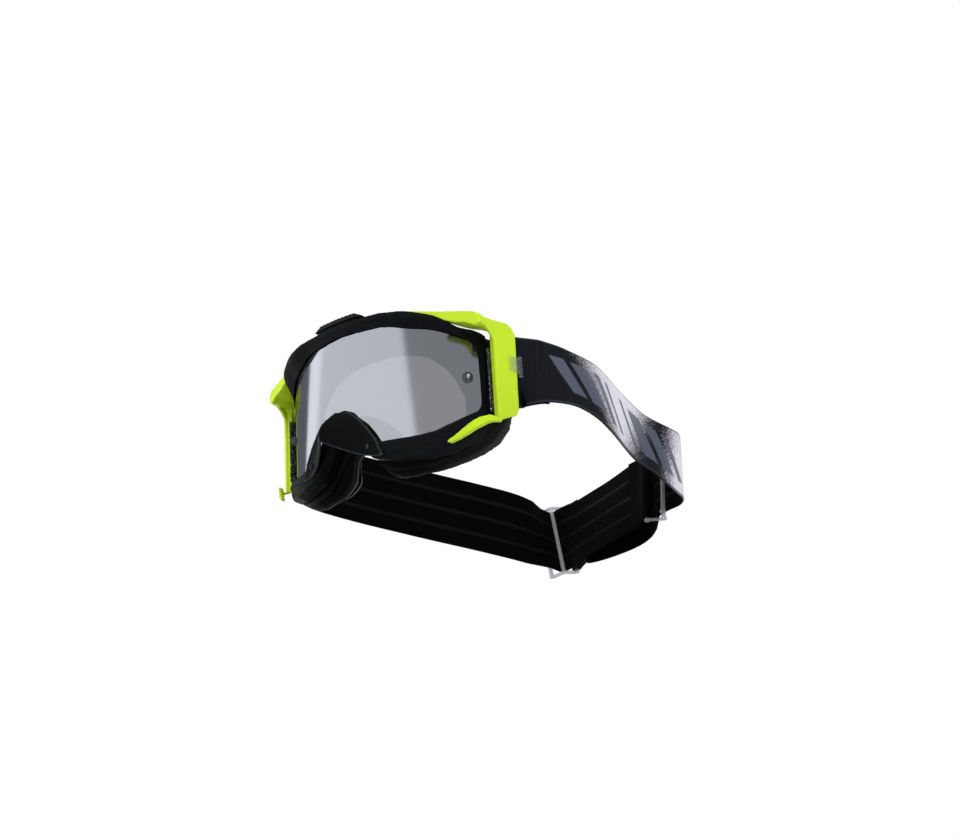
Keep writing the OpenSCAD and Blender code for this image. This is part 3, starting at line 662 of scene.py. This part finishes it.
def make_lens():
    nx, nz = 220, 46
    lim = math.asin(80.2 / 105.0)
    phis = np.linspace(-lim, lim, nx)
    V, F, coat = [], [], []
    MI = []
    for side, R in ((0, 105.0), (1, 103.6)):
        for ph in phis:
            x = 105.0 * math.sin(ph)
            zl, zt = column(x, 1.9)
            for j in range(nz):
                z = zl + (zt - zl) * j / (nz - 1)
                V.append(row(bend(np.array([[R * math.sin(ph), FACE_Y - R * math.cos(ph), z]]))[0]))
                # no coating over the coloured corner panels
                ax = abs(x)
                d = seg_dist(np.array([[ax, 0.0, z]]), [[67.2, -12.4], [72, -14.4], [75.5, -17.4], [77.5, -22.4]])[0]
                c = 1.0 - 0.95 * max(0.0, min(1.0, (3.6 - d) / 1.4))
                edge = max(0.0, min(1.0, (ax - 77.2) / 0.8)) * (1 if x < 0 and z > -30 else 0)
                coat.append(c * (1 - 0.6 * edge))
    N = nx * nz
    idx = lambda s, i, j: s * N + i * nz + j
    for i in range(nx - 1):
        for j in range(nz - 1):
            F.append((idx(0, i, j), idx(0, i + 1, j), idx(0, i + 1, j + 1), idx(0, i, j + 1)))
            MI.append(0)
            F.append((idx(1, i, j), idx(1, i, j + 1), idx(1, i + 1, j + 1), idx(1, i + 1, j)))
            MI.append(1)
    for i in range(nx - 1):
        F.append((idx(0, i, 0), idx(1, i, 0), idx(1, i + 1, 0), idx(0, i + 1, 0)))
        F.append((idx(0, i, nz - 1), idx(0, i + 1, nz - 1), idx(1, i + 1, nz - 1), idx(1, i, nz - 1)))
        MI += [1, 1]
    for j in range(nz - 1):
        F.append((idx(0, 0, j), idx(0, 0, j + 1), idx(1, 0, j + 1), idx(1, 0, j)))
        F.append((idx(0, nx - 1, j), idx(1, nx - 1, j), idx(1, nx - 1, j + 1), idx(0, nx - 1, j + 1)))
        MI += [1, 1]
    ob = new_mesh("lens_shell", V, F, [M["lens"], M["lens_back"]])
    ob.data.polygons.foreach_set("material_index", MI)
    a = ob.data.attributes.new("coating", "FLOAT", "POINT")
    a.data.foreach_set("value", np.array(coat, np.float32))
    # sharp rims
    sh = ob.data.attributes.new("sharp_edge", "BOOLEAN", "EDGE")
    vals = np.zeros(len(ob.data.edges), bool)
    for e in ob.data.edges:
        a0, b0 = e.vertices
        rim = lambda q: (q % N) % nz in (0, nz - 1) or (q % N) // nz in (0, nx - 1)
        vals[e.index] = rim(a0) and rim(b0)
    sh.data.foreach_set("value", vals)
    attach(ob, BODY["lens"])
    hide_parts("lens")
    return ob


lens = make_lens()

# ------------------------------------------------------- small plastic pieces
def shape_panel(P):
    return bend(P + np.array([0, 0, 4.0]))


def stud(P):
    """The tear-off post: waisted near the lens, with a domed head."""
    sg = 1.0 if P[:, 0].mean() > 0 else -1.0
    a = np.array([sg * 0.690251, -0.723570, 0.0])
    b = np.array([sg * 0.723570, 0.690251, 0.0])
    D = P - np.array([0.0, FACE_Y, -38.0])
    h, u, v = D @ a - 107.3, D @ b, D[:, 2]
    r = np.hypot(u, v)
    waist = 1 - 0.22 * np.exp(-((h - 0.8) / 0.5) ** 2)
    h2 = h - 0.2 * r * r * ease(h, 1.2, 2.8)
    Q = np.array([0.0, FACE_Y, -38.0]) + np.outer(h2 + 107.3, a) + np.outer(u * waist, b)
    Q[:, 2] += v * waist
    return bend(Q)


for s in ("left", "right"):
    remade("corner_panel_%s_shell" % s, "corner_panel_" + s, 0.0003, 2, M["yellow_plastic"],
           shape_panel)
    remade("tear_off_post_%s_shell" % s, "tear_off_post_" + s, 0.00022, 3, M["stud"], stud)
    remade("strap_clip_%s_shell" % s, "strap_clip_" + s, 0.00022, 2, M["clear_plastic"])
    remade("slider_%s_shell" % s, "slider_" + s, 0.00035, 3, M["slider_plastic"])
    for nd, mt in (("hinge_pin_", "black_steel"), ("strap_pin_", "steel"), ("side_mesh_", "mesh")):
        ob = NODES[nd + s]
        ob.data.materials.clear()
        ob.data.materials.append(M[mt])

RIBS = [-14.5, -11.5, -8.5, -5.5, -2.5, 0.5, 3.5, 6.5, 9.5, 12.5]


def shape_cover(P):
    r = np.hypot(P[:, 0], P[:, 1] - FACE_Y)
    d = np.min(np.abs(P[:, 0][:, None] - np.array(RIBS)[None]), axis=1)
    top = np.clip((P[:, 2] - 8.6) / 0.8, 0, 1)
    P = P.copy()
    P[:, 2] -= 0.35 * np.exp(-(d / 0.55) ** 2) * top
    P[:, 2] = 7.2 + (P[:, 2] - 7.2) * 0.85 + 1.1 * np.clip((P[:, 2] - 5.0) / 2.0, 0, 1)
    return P


remade("top_vent_cover_shell", "top_vent_cover", 0.0003, 2, M["cover_grey"], shape_cover)
remade("vent_foam_top_pad", "vent_foam_top", 0.0006, 3, M["vent_foam"])
remade("vent_foam_bottom_pad", "vent_foam_bottom", 0.0006, 3, M["vent_foam"])


# ----------------------------------------------------------------- outriggers
for s in ("left", "right"):
    remade("outrigger_%s_shell" % s, "outrigger_" + s, 0.00042, 4, M["yellow_plastic"])


# ----------------------------------------------------------------- nose guard
remade("nose_guard_shell", "nose_guard", 0.0005, 3, M["guard_black"])


# --------------------------------------------------------------------- foams
def shape_foam(amount, centre, half, phase, square):
    def f(P):
        # the lower inner corners are fuller than a plain sweep of the outline
        ax = np.abs(P[:, 0])
        P = P.copy()
        deep = 1 - ease(P[:, 2], -84, -70)
        P[:, 2] = np.maximum(P[:, 2] - 0.15 * square * deep * (1 - ease(ax, 22, 38)), -91.2)
        P[:, 0] -= np.sign(P[:, 0]) * square * deep * (1 - ease(ax, 16, 40))
        r = np.hypot(P[:, 0], 1.0)
        q = P[:, 1] + np.sqrt(np.maximum(107.0 ** 2 - P[:, 0] ** 2, 1.0))
        t = np.clip((q - centre) / half, -1, 1)
        cx, cz = P[:, 0], P[:, 2] + 42
        ln = np.hypot(cx, cz) + 1e-6
        wob = 1 + 0.25 * np.sin(cx * 0.21 + phase) * np.sin(cz * 0.17 + phase * 2)
        out = amount * (1 - t * t) * wob
        Q = P.copy()
        # crown outwards on the outside, inwards on the inside of the ring
        side = np.where(seg_dist(P, ring(REAR)) < seg_dist(P, ring(EYE)), 1.0, -1.0)
        near = np.minimum(seg_dist(P, ring(REAR)), seg_dist(P, ring(EYE)))
        w = np.exp(-(near / 2.0) ** 2) * side * out
        Q[:, 0] += w * cx / ln
        Q[:, 2] += w * cz / ln
        return Q
    return f


REAR = [[0, 5], [15, 4.7], [30, 4], [43, 1.5], [55, -2], [64, -5.6],
        [70, -8.5], [75.5, -13], [78, -18], [79.3, -26], [79.5, -45], [79.5, -58],
        [78.2, -66], [73.5, -75.5], [66.5, -81.5], [59, -85.2], [51, -87.8],
        [44, -89.2], [32, -89.2], [26, -88.4], [21, -85.8], [17, -82], [13.5, -76.5],
        [10, -71], [5, -65], [0, -63.5]]
EYE = [[0, -9], [20, -10], [35, -13], [43, -16.8], [50, -21.5],
       [57, -28], [61, -34], [64, -41], [66.5, -49], [67, -56], [66, -61],
       [63, -66], [58, -71], [51, -74.8], [45, -76.2], [37, -76], [31, -73.5],
       [27, -70], [22, -62], [15, -54], [7, -50], [0, -49]]
f1 = remade("foam_base_pad", "foam_base", 0.0008, 3, M["foam_black"], shape_foam(0.35, 124, 3.2, 0.3, 2.5))
f2 = remade("foam_mid_pad", "foam_mid", 0.0008, 3, M["foam_grey"], shape_foam(0.4, 129.5, 2.8, 1.1, 4.5))
f3 = remade("foam_fleece_pad", "foam_fleece", 0.0006, 4, M["fleece"], shape_foam(0.2, 133, 1.4, 2.0, 7.0))


# --------------------------------------------------------------------- straps
def unit(v):
    v = np.asarray(v, float)
    return v / np.linalg.norm(v)


def smooth_route(p, m):
    p = np.asarray(p, float)
    n, o = len(p), []
    for i in range(n - 1):
        p0 = 2 * p[0] - p[1] if i == 0 else p[i - 1]
        p3 = 2 * p[-1] - p[-2] if i == n - 2 else p[i + 2]
        for j in range(m):
            t = j / m
            o.append(0.5 * (2 * p[i] + (p[i + 1] - p0) * t + (2 * p0 - 5 * p[i] + 4 * p[i + 1] - p3) * t * t
                            + (3 * p[i] - p0 - 3 * p[i + 1] + p3) * t ** 3))
    o.append(p[-1])
    return np.array(o)


BAR_LEFT, BAR_RIGHT = np.array([76.9, 221, -60.2]), np.array([-32.6, 255, -65.3])


def turns(turn, tip, lean):
    a, b, c = (math.radians(v) for v in (turn, tip, lean))
    Z = np.array([[math.cos(a), -math.sin(a), 0], [math.sin(a), math.cos(a), 0], [0, 0, 1]])
    Y = np.array([[math.cos(b), 0, math.sin(b)], [0, 1, 0], [-math.sin(b), 0, math.cos(b)]])
    X = np.array([[1, 0, 0], [0, math.cos(c), -math.sin(c)], [0, math.sin(c), math.cos(c)]])
    return Z @ Y @ X


T_LEFT, T_RIGHT = turns(-21.06, -2.6, -8), turns(32.7, -7, -4)


def at_left(v):
    return BAR_LEFT + T_LEFT @ np.array(v, float)


def at_right(v):
    return BAR_RIGHT + T_RIGHT @ np.array(v, float)


ROUTE_LEFT = [[86.1, 63.2, -29.9, 4.5, 0], [89.6, 67.2, -29.8, 9, 0],
              [96.5, 73.5, -30.5, 15, 0], [104, 86, -32.5, 18.5, 0],
              [107.6, 102, -35.6, 15, 0], [107.3, 118.5, -39.2, 9.7, 0],
              [102, 151, -47.3, 8.3, 0], [101.4, 174, -52, 12, 0],
              [102.4, 198, -56.6, 4, 0], [101.2, 208.5, -58.2, -1, 0],
              [95.6, 214.8, -59.3, -6, 0], [85.3, 217.8, -59.8, -8, 0],
              [76.9, 221, -60.2, -8, 0], [72.2, 223.2, -60.6, -5, 0],
              [65.8, 227.6, -62, 1, 0], [57.5, 233.8, -63.6, 7, 0],
              [47, 240.6, -64.8, 10, 0], [33, 246.3, -65.6, 10, 0],
              [14, 250.5, -66, 7, 0], [-1, 252.8, -65.8, 2, 0]]
ROUTE_RIGHT_SIDE = [[-38.8, 241, -62.9, 1, 0.04],
                    [-45.4, 219.5, -59.2, 8.5, 0], [-58, 197.5, -54.5, 9.5, 0],
                    [-74, 173.2, -49, 9.5, 0], [-89, 150, -43.7, 8.5, 0],
                    [-103, 127, -38.6, 8, 0], [-112, 105, -35, 7, 0], [-113.5, 90, -33.3, 8, 0],
                    [-108.5, 78.5, -32.2, 11, 0], [-99, 71.5, -31.5, 12, 0],
                    [-90.5, 67, -30.4, 9.5, 0], [-85.2, 63.5, -30, 5, 0]]


def frames(q, guide=None):
    """Sections along a smoothed route: centre, across, outwards and arc length.
    guide(c) gives (weight, direction) that turns the section to a bar."""
    n, out, s = len(q), [], 0.0
    for i in range(n):
        c = q[i, :3]
        if i:
            s += np.linalg.norm(c - q[i - 1, :3])
        d = unit(q[min(i + 1, n - 1), :3] - q[max(i - 1, 0), :3])
        u0 = unit(np.array([0, 0, 1.0]) - d * d[2])
        o0 = np.cross(d, u0)
        a = math.radians(q[i, 3])
        u = unit(u0 * math.cos(a) - o0 * math.sin(a) + d * q[i, 4])
        if guide is not None:
            w, g = guide(c, i)
            if w > 0:
                u = unit((1 - w) * u + w * g)
        o = unit(np.cross(d, u))
        out.append((c, u, o, s))
    return out


def profile(lines):
    """Section of the webbing: (place across, height, side), once round."""
    pts = []
    h = 0.8
    for v in np.linspace(-22.4, 22.4, 33):
        pts.append((v, h, 1.0))
    for a in (60, 20, -20, -60):
        pts.append((22.4 + 0.6 * math.cos(math.radians(a)), h * math.sin(math.radians(a)), 0.4 if a > 0 else -0.4))
    vs = sorted(set(list(np.linspace(-22.4, 22.4, 15)) + [c + k for c in (-12, 0, 12) for k in (-1.6, -1.1, -0.6, 0, 0.6, 1.1, 1.6)]))
    for v in reversed(vs):
        b = 0.0
        if lines:
            for c in (-12, 0, 12):
                d = abs(v - c)
                if d < 1.5:
                    b = max(b, 0.30 * math.sqrt(max(0.0, 1 - (d / 1.5) ** 2)))
        pts.append((v, -h - b, -1.0))
    for a in (-120, -160, -200, -240):
        pts.append((-22.4 + 0.6 * math.cos(math.radians(a)), h * math.sin(math.radians(a)), -0.4 if a > -180 else 0.4))
    return pts


def webbing(name, sec, mat, lines=(1e9, -1e9), seams=()):
    """A band of webbing along the given sections, with its rows of thread.
    seams: (arc length, half width) of each sewn row."""
    with_l, plain = profile(True), profile(False)
    n, m_ = len(sec), len(plain)
    V, A, F, MI = [], [], [], []
    for (c, u, o, s) in sec:
        fade = max(0.0, min(1.0, (s - lines[0]) / 2.0, (lines[1] - s) / 2.0))
        for a, b in zip(plain, with_l):
            h = a[1] + (b[1] - a[1]) * fade
            V.append(row(c + u * a[0] + o * h))
            A.append((s, a[0], a[2]))
    for i in range(n - 1):
        for j in range(m_):
            k = (j + 1) % m_
            F.append((i * m_ + j, (i + 1) * m_ + j, (i + 1) * m_ + k, i * m_ + k))
    MI += [0] * len(F)
    for i, flip in ((0, False), (n - 1, True)):
        b = len(V)
        for j in range(m_):
            V.append(V[i * m_ + j])
            A.append(A[i * m_ + j])
        f = tuple(range(b, b + m_))
        F.append(f if not flip else tuple(reversed(f)))
        MI.append(0)
    S = np.array([x[3] for x in sec])
    for (s, span) in seams:
        i = int(np.argmin(abs(S - s)))
        c, u, o, _ = sec[i]
        d = unit(np.cross(u, o))
        for sg in (1.0, -1.0):
            v = -span
            while v < span:
                b = len(V)
                for kx, cc in enumerate((v, v + 0.9, v + 1.8)):
                    hh = 0.78 + (0.2 if kx == 1 else 0.0)
                    rad = 0.2 if kx != 1 else 0.27
                    for ang in range(6):
                        t = math.radians(ang * 60)
                        V.append(row(c + u * cc + o * sg * (hh + rad * math.sin(t)) + d * rad * math.cos(t)))
                        A.append((s, cc, sg))
                for kx in range(2):
                    for ang in range(6):
                        q = (ang + 1) % 6
                        F.append((b + kx * 6 + ang, b + kx * 6 + q, b + kx * 6 + 6 + q, b + kx * 6 + 6 + ang))
                        MI.append(1)
                v += 2.6
    ob = new_mesh(name, V, F, [mat, M["thread"]])
    ob.data.polygons.foreach_set("material_index", MI)
    at = ob.data.attributes.new("sv", "FLOAT_VECTOR", "POINT")
    at.data.foreach_set("vector", np.array(A, np.float32).ravel())
    return ob


def offset_points(q, ss, off):
    """Points beside a route, at arc lengths ss, moved inwards by off."""
    fr = frames(q)
    S = np.array([f[3] for f in fr])
    out = []
    for s in ss:
        i = int(np.argmin(abs(S - s)))
        c, u, o, _ = fr[i]
        p = c - o * off
        out.append([p[0], p[1], p[2], -q[i, 3], -q[i, 4]])
    return out


PIN = np.array([82.95, 54.8])


def front_loop(q, sx):
    """The webbing's turn round the strap pin and its end sewn on behind."""
    pts = offset_points(q, [17, 13, 9, 5.5, 2.5], 1.66)
    z = -30.9
    for (x, y, zz, l) in ((82.6, 61.8, -30.2, -4), (81.35, 59.2, -30.6, -2), (80.68, 56.8, z, 0)):
        pts.append([sx * x, y, zz, l, 0])
    for a in (180, 210, 240, 270, 300, 330, 360):
        t = math.radians(a)
        pts.append([sx * (PIN[0] + 2.33 * math.cos(t)), PIN[1] + 2.33 * math.sin(t), z, 0, 0])
    pts.append([sx * 85.2, 57.4, -30.9, 0, 0])
    pts.append([sx * 84.9, 60.2, -30.3, 1.5, 0])
    return pts


def spread(sec, marks):
    """Cuts a list of sections at the given arc lengths; ends are shared."""
    S = np.array([f[3] for f in sec])
    ids = [0] + [int(np.argmin(abs(S - m))) for m in marks] + [len(sec) - 1]
    return [sec[a:b + 1] for a, b in zip(ids[:-1], ids[1:])]


def guide(kind):
    def g(c, i):
        k = np.clip((2.2 if kind == "tail" else 1.6) - np.linalg.norm(c - BAR_RIGHT) / 14.0, 0, 1)
        if k > 0:
            return k, AX_R
        if kind == "rear":
            k = np.clip(2.4 - np.linalg.norm(c - BAR_LEFT) / 12.0, 0, 1)
            return k, AX_L
        return 0.0, AX_L
    return g


AX_L, AX_R = T_LEFT @ np.array([0, 0, 1.0]), T_RIGHT @ np.array([0, 0, 1.0])


def sewn(bar, along, nrm, at):
    """Turn round a slider bar: outer layer, round the bar, inner layer."""
    pts = []
    for a, off in ((15.0, 0.9), (9.0, 0.9), (5.4, 1.25), (2.6, 2.0)):
        pts.append(list(at(bar + along * a + nrm * off)) + [-4, 0])
    a0 = math.atan2(nrm[1], nrm[0])
    sign = 1.0 if along[0] * nrm[1] - along[1] * nrm[0] > 0 else -1.0
    for da in (0, 45, 90, 135, 180):
        t = a0 + sign * math.radians(da)
        pts.append(list(at(bar + 2.33 * np.array([math.cos(t), math.sin(t), 0]))) + [-4, 0])
    for a, off in ((2.6, -2.0), (5.4, -1.25), (9.0, -0.9), (17.5, -0.9)):
        pts.append(list(at(bar + along * a + nrm * off)) + [4, 0])
    return pts


# left strap: loop on the outrigger, side run, through the left slider, rear
# run, and its end sewn round the right slider's outer bar
q_left = smooth_route(ROUTE_LEFT, 10)
loop_l = front_loop(q_left, 1)
ALONG_R = np.array([math.cos(math.radians(-54.5)), math.sin(math.radians(-54.5)), 0])
NRM_R = np.array([-ALONG_R[1], ALONG_R[0], 0])
end_r = sewn(np.array([9.0, 3.6, 0.0]), ALONG_R, NRM_R, at_right)
STEP = 8
sec = frames(smooth_route(loop_l + ROUTE_LEFT + end_r, STEP), guide("tail"))
S0 = sec[len(loop_l) * STEP][3]
sec = [(c, u, o, s - S0) for (c, u, o, s) in sec]
SEC_LEFT = sec
TOTAL_L = sec[-1][3]

# right strap: sewn round the left slider's bar, rear run inside, turn over the
# right slider's middle bar, side run and the loop on its outrigger
q_right = smooth_route(ROUTE_RIGHT_SIDE, 10)
side_r = [[-p[0], p[1], p[2], p[3], p[4]] for p in ROUTE_RIGHT_SIDE]
loop_r = [[-p[0], p[1], p[2], p[3], p[4]] for p in
          front_loop(smooth_route(list(reversed(side_r)), 10), 1)]
end_l = sewn(np.array([-9.0, -4.2, 0.0]), np.array([-1.0, 0, 0]), np.array([0, 1.0, 0]), at_left)
ROUTE_RIGHT_REAR = [[28, 235.4, -62.6, -7.5, 0], [4, 244.6, -63.8, -6.5, 0], [-14, 251.4, -64.7, -5, 0.03]]
wrap = [list(at_right([2.82 * math.cos(math.radians(a)), 2.82 * math.sin(math.radians(a)), 0])) + [-4, 0]
        for a in (38, 62, 87, 111, 135)]
full_r = (list(reversed(end_l)) + ROUTE_RIGHT_REAR + wrap + ROUTE_RIGHT_SIDE
          + [[-p[0], p[1], p[2], p[3], p[4]] for p in reversed(front_loop(smooth_route(list(reversed(side_r)), 10), 1))])
SEC_RIGHT = frames(smooth_route(full_r, STEP), guide("rear"))
TOTAL_R = SEC_RIGHT[-1][3]


def arc_at(sec, p, lo=-1e9, hi=1e9):
    """Arc length of the section nearest to a point."""
    best, out = 1e9, 0.0
    for (c, u, o, s) in sec:
        if lo <= s <= hi:
            d = np.linalg.norm(c - np.array(p, float))
            if d < best:
                best, out = d, s
    return out


mL = [arc_at(SEC_LEFT, (107, 120, -39)), arc_at(SEC_LEFT, BAR_LEFT, 120), arc_at(SEC_LEFT, (24, 248.5, -66), 200)]
pL = spread(SEC_LEFT, mL)
mR = [arc_at(SEC_RIGHT, (16, 240, -63), 40), arc_at(SEC_RIGHT, at_right([0, 2.8, 0]), 60),
      arc_at(SEC_RIGHT, (-112, 105, -35), 150)]
pR = spread(SEC_RIGHT, mR)
print("strap arcs", [round(v, 1) for v in mL], round(TOTAL_L, 1), [round(v, 1) for v in mR], round(TOTAL_R, 1))


def P(x, y, z):
    return tuple(float(v) for v in row((x, y, z)))


WP, WB = M["webbing_print"], M["webbing"]
a = webbing("strap_left_front", pL[0], WP, (14, 1e9), [(9.0, 21), (15.5, 21)])
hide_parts("strap_left", "strap_end_left")
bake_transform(a)
a = webbing("strap_left_side", pL[1], WP, (-1e9, mL[1] - 30))
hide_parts("strap_left")
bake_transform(a)
a = webbing("strap_left_rear", pL[2], WP)
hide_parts("strap_left")
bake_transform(a)
a = webbing("strap_left_tail", pL[3], WP, (1e9, -1e9),
            [(arc_at(SEC_LEFT, at_right(np.array([9.0, 3.6, 0]) + ALONG_R * 8 + NRM_R * 0.9), 240, TOTAL_L - 24), 21),
             (arc_at(SEC_LEFT, at_right(np.array([9.0, 3.6, 0]) + ALONG_R * 14 + NRM_R * 0.9), 240, TOTAL_L - 24), 21)])
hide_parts("strap_left", "slider_end_right")
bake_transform(a)

a = webbing("strap_right_tail", pR[0], WB, (1e9, -1e9), [(31, 21), (37, 21)])
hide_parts("strap_right", "slider_end_left")
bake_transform(a)
a = webbing("strap_right_rear", pR[1], WB)
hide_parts("strap_right")
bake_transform(a)
a = webbing("strap_right_side", pR[2], WB, (mR[1] + 14, 1e9))
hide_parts("strap_right")
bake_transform(a)
a = webbing("strap_right_front", pR[3], WB, (-1e9, TOTAL_R - 36), [(TOTAL_R - 9, 21), (TOTAL_R - 3, 21)])
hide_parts("strap_right", "strap_end_right")
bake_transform(a)


# ------------------------------------------------------------ world and lights
w = bpy.data.worlds.new("studio")
scene.world = w
w.use_nodes = True
t = w.node_tree
t.nodes.clear()
wout = t.nodes.new("ShaderNodeOutputWorld")
bg_cam = t.nodes.new("ShaderNodeBackground")
bg_cam.inputs["Color"].default_value = (1, 1, 1, 1)
bg_env = t.nodes.new("ShaderNodeBackground")
mixw = t.nodes.new("ShaderNodeMixShader")
lp = t.nodes.new("ShaderNodeLightPath")
t.links.new(lp.outputs["Is Camera Ray"], mixw.inputs[0])
t.links.new(bg_env.outputs[0], mixw.inputs[1])
t.links.new(bg_cam.outputs[0], mixw.inputs[2])
t.links.new(mixw.outputs[0], wout.inputs["Surface"])


def wmath(op, a, b=None, clamp=False):
    node = t.nodes.new("ShaderNodeMath")
    node.operation, node.use_clamp = op, clamp
    for i, x in enumerate((a, b)):
        if x is None:
            continue
        if isinstance(x, (int, float)):
            node.inputs[i].default_value = x
        else:
            t.links.new(x, node.inputs[i])
    return node.outputs[0]


def wstep(x, lo, hi):
    node = t.nodes.new("ShaderNodeMapRange")
    node.interpolation_type = "SMOOTHSTEP"
    node.inputs["From Min"].default_value = lo
    node.inputs["From Max"].default_value = hi
    t.links.new(x, node.inputs["Value"])
    return node.outputs["Result"]


tc = t.nodes.new("ShaderNodeTexCoord")
sp = t.nodes.new("ShaderNodeSeparateXYZ")
t.links.new(tc.outputs["Generated"], sp.inputs[0])
dx, dy, dz = sp.outputs
th = wmath("MULTIPLY", wmath("ARCTAN2", dx, wmath("MULTIPLY", dy, -1.0)), 180 / math.pi)
el = wmath("MULTIPLY", wmath("ARCSINE", dz), 180 / math.pi)
# the edges of the light walls lean: outwards on the left, inwards on the right
lean = wmath("SUBTRACT", wmath("MULTIPLY", wmath("DIVIDE", wmath("ADD", th, 60.0), 60.0, True), 6.0), 4.0)
thr = wmath("ADD", th, wmath("MULTIPLY", wmath("SUBTRACT", el, 22.3), lean))
wall = t.nodes.new("ShaderNodeValToRGB")
cr_ = wall.color_ramp
cr_.interpolation = "LINEAR"
levels = [(-180, 0.30), (-160, 0.30), (-140, 0.175), (-89, 0.175), (-86, 1.35), (-74, 1.38), (-68, 0.95),
          (-20, 0.92), (16, 0.90), (20, 0.335), (70, 0.33), (90, 0.45), (130, 0.5), (180, 0.30)]
while len(cr_.elements) > 1:
    cr_.elements.remove(cr_.elements[-1])
MAXL = 1.5
for k, (deg, v) in enumerate(levels):
    e = cr_.elements[0] if k == 0 else cr_.elements.new((deg + 180) / 360)
    e.position = (deg + 180) / 360
    e.color = (v / MAXL, v / MAXL, v / MAXL, 1)
t.links.new(wmath("DIVIDE", wmath("ADD", thr, 180.0), 360.0), wall.inputs[0])
horizon = wmath("MULTIPLY", wall.outputs["Color"], MAXL)
# above and below the walls: a soft ceiling and a dimmer floor
up = wstep(el, 34.0, 52.0)
down = wstep(wmath("MULTIPLY", el, -1.0), 4.0, 22.0)
lvl = wmath("ADD", wmath("MULTIPLY", horizon, wmath("SUBTRACT", 1.0, up)), wmath("MULTIPLY", up, 0.55))
lvl = wmath("ADD", wmath("MULTIPLY", lvl, wmath("SUBTRACT", 1.0, down)), wmath("MULTIPLY", down, 0.35))
t.links.new(lvl, bg_env.inputs["Strength"])
bg_env.inputs["Color"].default_value = (0.985, 0.99, 1.0, 1)


def area(name, at, to, size, power, colour=(1, 1, 1), glossy=False):
    ld = bpy.data.lights.new(name, "AREA")
    ld.shape, ld.size, ld.energy, ld.color = "DISK", size, power, colour
    ob = bpy.data.objects.new(name, ld)
    coll.objects.link(ob)
    ob.location = at
    ob.rotation_euler = (Vector(to) - Vector(at)).to_track_quat("-Z", "Y").to_euler()
    ob.visible_glossy = glossy
    return ob


area("key", (0.9, -1.5, 1.3), (0, 0, 0.05), 0.9, 26)
area("fill", (1.6, 0.2, 0.2), (0, 0, 0.05), 1.0, 14)
area("low", (0.3, -1.2, -0.9), (0, 0, 0.05), 0.8, 12)
area("back", (-0.8, 1.4, 1.2), (0, 0, 0.05), 1.0, 12)
area("side", (-1.5, -0.7, 0.35), (0, 0, 0.05), 0.8, 16)

# ---------------------------------------------------------------------- floor
k = Mat("floor_pale")
co = k.coords()
d = k.n("ShaderNodeBsdfDiffuse")
k.l(k.mix(k.noise(co, 6.0, 3.0), (0.78, 0.78, 0.785), (0.83, 0.83, 0.83)), d.inputs["Color"])
tr = k.n("ShaderNodeBsdfTransparent")
mx = k.n("ShaderNodeMixShader")
k.l(k.n("ShaderNodeNewGeometry").outputs["Backfacing"], mx.inputs[0])
k.l(d.outputs[0], mx.inputs[1])
k.l(tr.outputs[0], mx.inputs[2])
k.l(mx.outputs[0], k.out.inputs["Surface"])
me = bpy.data.meshes.new("floor")
bm = bmesh.new()
bmesh.ops.create_circle(bm, cap_ends=True, segments=64, radius=3.0)
bm.to_mesh(me)
bm.free()
me.materials.append(k.m)
fl = bpy.data.objects.new("floor", me)
coll.objects.link(fl)
fl.location = (0, 0, -0.0012)

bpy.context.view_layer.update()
